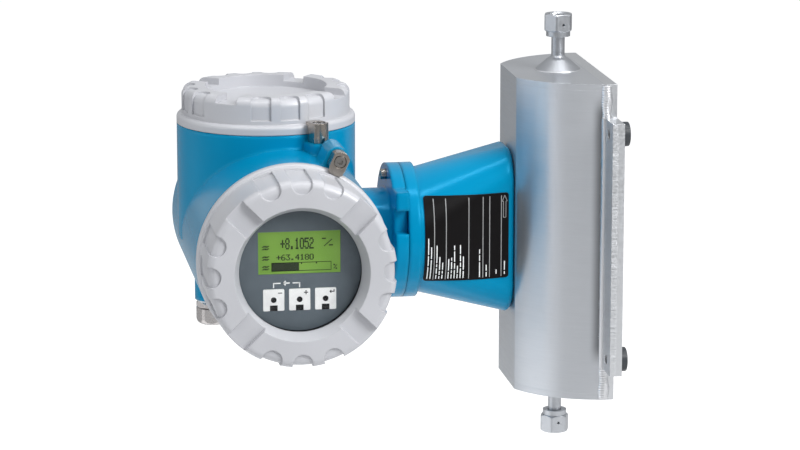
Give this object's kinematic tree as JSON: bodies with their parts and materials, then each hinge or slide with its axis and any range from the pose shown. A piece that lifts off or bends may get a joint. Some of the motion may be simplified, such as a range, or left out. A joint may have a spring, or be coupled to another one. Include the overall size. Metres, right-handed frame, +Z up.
{
  "type": "coriolis flow meter",
  "caption": "Compact Coriolis mass flow meter: stainless D-section sensor with face-seal nuts, conical neck and swivelling field transmitter with display window and terminal cover.",
  "frame": {"origin": "centre of the four bracket holes, on the wall plane where the spacers end", "axes": "+X into the wall, -Y towards the display side, +Z up along the pipe"},
  "size_m": [0.2853, 0.239, 0.286],
  "materials": {
    "brushed_stainless": "brushed stainless sheet",
    "bracket_stainless": "blasted stainless plate",
    "weld_metal": "bright weld metal",
    "turned_stainless": "fine turned stainless",
    "nut_stainless": "satin stainless",
    "inner_metal": "plain stainless",
    "coil_copper": "enamelled copper winding",
    "sensor_ceramic": "glazed ceramic",
    "spacer_rubber": "dark matt rubber",
    "seal_rubber": "black rubber",
    "blue_coating": "semi-gloss powder coating on die-cast aluminium",
    "grey_coating": "light grey semi-gloss powder coating on die-cast aluminium",
    "nameplate_foil": "printed black foil",
    "screw_steel": "bright stainless screw",
    "claw_steel": "cast stainless",
    "dark_plastic": "moulded plastic",
    "board_laminate": "glass-fibre laminate",
    "terminal_plastic": "moulded plastic",
    "terminal_brass": "plain brass",
    "faceplate_plastic": "dark grey moulded plastic",
    "lcd_glass": "green lit liquid crystal",
    "key_white": "white print",
    "key_lens": "dark infrared window",
    "window_glass": "clear toughened glass",
    "ring_plastic": "moulded plastic",
    "gland_ring_plastic": "light plastic",
    "gland_brass": "nickel-plated brass"
  },
  "bodies": {
    "sensor": {"sensor_shell": "brushed_stainless", "end_plates": "brushed_stainless", "back_plate": "bracket_stainless", "weld_beads": "weld_metal", "wall_spacers": "spacer_rubber", "upper_stub": "turned_stainless", "lower_stub": "turned_stainless", "port_seals": "seal_rubber", "measuring_tube": "inner_metal", "tube_carrier": "inner_metal", "drive_coil": "coil_copper", "pickup_coils": "coil_copper", "tube_magnets": "inner_metal", "temperature_sensor": "sensor_ceramic", "signal_feedthrough": "inner_metal", "neck_cone": "blue_coating", "nameplate": "nameplate_foil", "swivel_seal": "seal_rubber"},
    "transmitter": {"transmitter_housing": "blue_coating", "swivel_screws": "screw_steel", "electronics_carrier": "dark_plastic", "power_board": "board_laminate", "amplifier_board": "board_laminate", "io_board": "board_laminate", "terminal_block": "terminal_plastic", "earth_terminal": "terminal_brass", "front_cover_seal": "seal_rubber", "top_cover_seal": "seal_rubber", "claw_screws": "screw_steel", "gland_seals": "gland_ring_plastic", "gland_bodies": "gland_brass", "gland_grommets": "seal_rubber"},
    "display": {"display_case": "dark_plastic", "display_faceplate": "faceplate_plastic", "lcd_panel": "lcd_glass", "key_fields": "key_white", "key_windows": "key_lens"},
    "front_lid": {"front_cover": "grey_coating", "cover_window": "window_glass", "window_gasket": "seal_rubber", "window_ring": "ring_plastic"},
    "top_lid": {"top_cover": "grey_coating"},
    "front_clamp": {"front_claw": "claw_steel"},
    "top_clamp": {"top_claw": "claw_steel"},
    "upper_port_nut": {"upper_nut": "nut_stainless"},
    "lower_port_nut": {"lower_nut": "nut_stainless"},
    "left_gland": {"left_gland_nut": "gland_brass"},
    "right_gland": {"right_gland_nut": "gland_brass"}
  },
  "joints": [
    {"name": "housing_swivel", "type": "hinge", "parent": "sensor", "child": "transmitter", "pos_m": [-0.138, 0, 0], "axis": [1, 0, 0], "range_deg": [-180, 180]},
    {"name": "front_cover_turn", "type": "hinge", "parent": "transmitter", "child": "front_lid", "pos_m": [-0.222, -0.1, 0.005], "axis": [0, -1, 0], "continuous": true},
    {"name": "top_cover_turn", "type": "hinge", "parent": "transmitter", "child": "top_lid", "pos_m": [-0.2265, 0.002, 0.076], "axis": [0, 0, 1], "continuous": true},
    {"name": "display_turn", "type": "hinge", "parent": "transmitter", "child": "display", "pos_m": [-0.222, -0.1, 0.005], "axis": [0, -1, 0], "range_deg": [-180, 180]},
    {"name": "front_clamp_swing", "type": "hinge", "parent": "transmitter", "child": "front_clamp", "pos_m": [-0.19254, -0.1, 0.06817], "axis": [0, -1, 0], "range_deg": [-90, 0]},
    {"name": "top_clamp_swing", "type": "hinge", "parent": "transmitter", "child": "top_clamp", "pos_m": [-0.19945, -0.05875, 0.076], "axis": [0, 0, 1], "range_deg": [0, 90]},
    {"name": "upper_nut_turn", "type": "hinge", "parent": "sensor", "child": "upper_port_nut", "pos_m": [-0.031, 0, 0.138], "axis": [0, 0, 1], "continuous": true},
    {"name": "lower_nut_turn", "type": "hinge", "parent": "sensor", "child": "lower_port_nut", "pos_m": [-0.031, 0, -0.138], "axis": [0, 0, 1], "continuous": true},
    {"name": "left_gland_turn", "type": "hinge", "parent": "transmitter", "child": "left_gland", "pos_m": [-0.2645, -0.01, -0.055], "axis": [0, 0, 1], "continuous": true},
    {"name": "right_gland_turn", "type": "hinge", "parent": "transmitter", "child": "right_gland", "pos_m": [-0.1795, -0.01, -0.055], "axis": [0, 0, 1], "continuous": true}
  ]
}
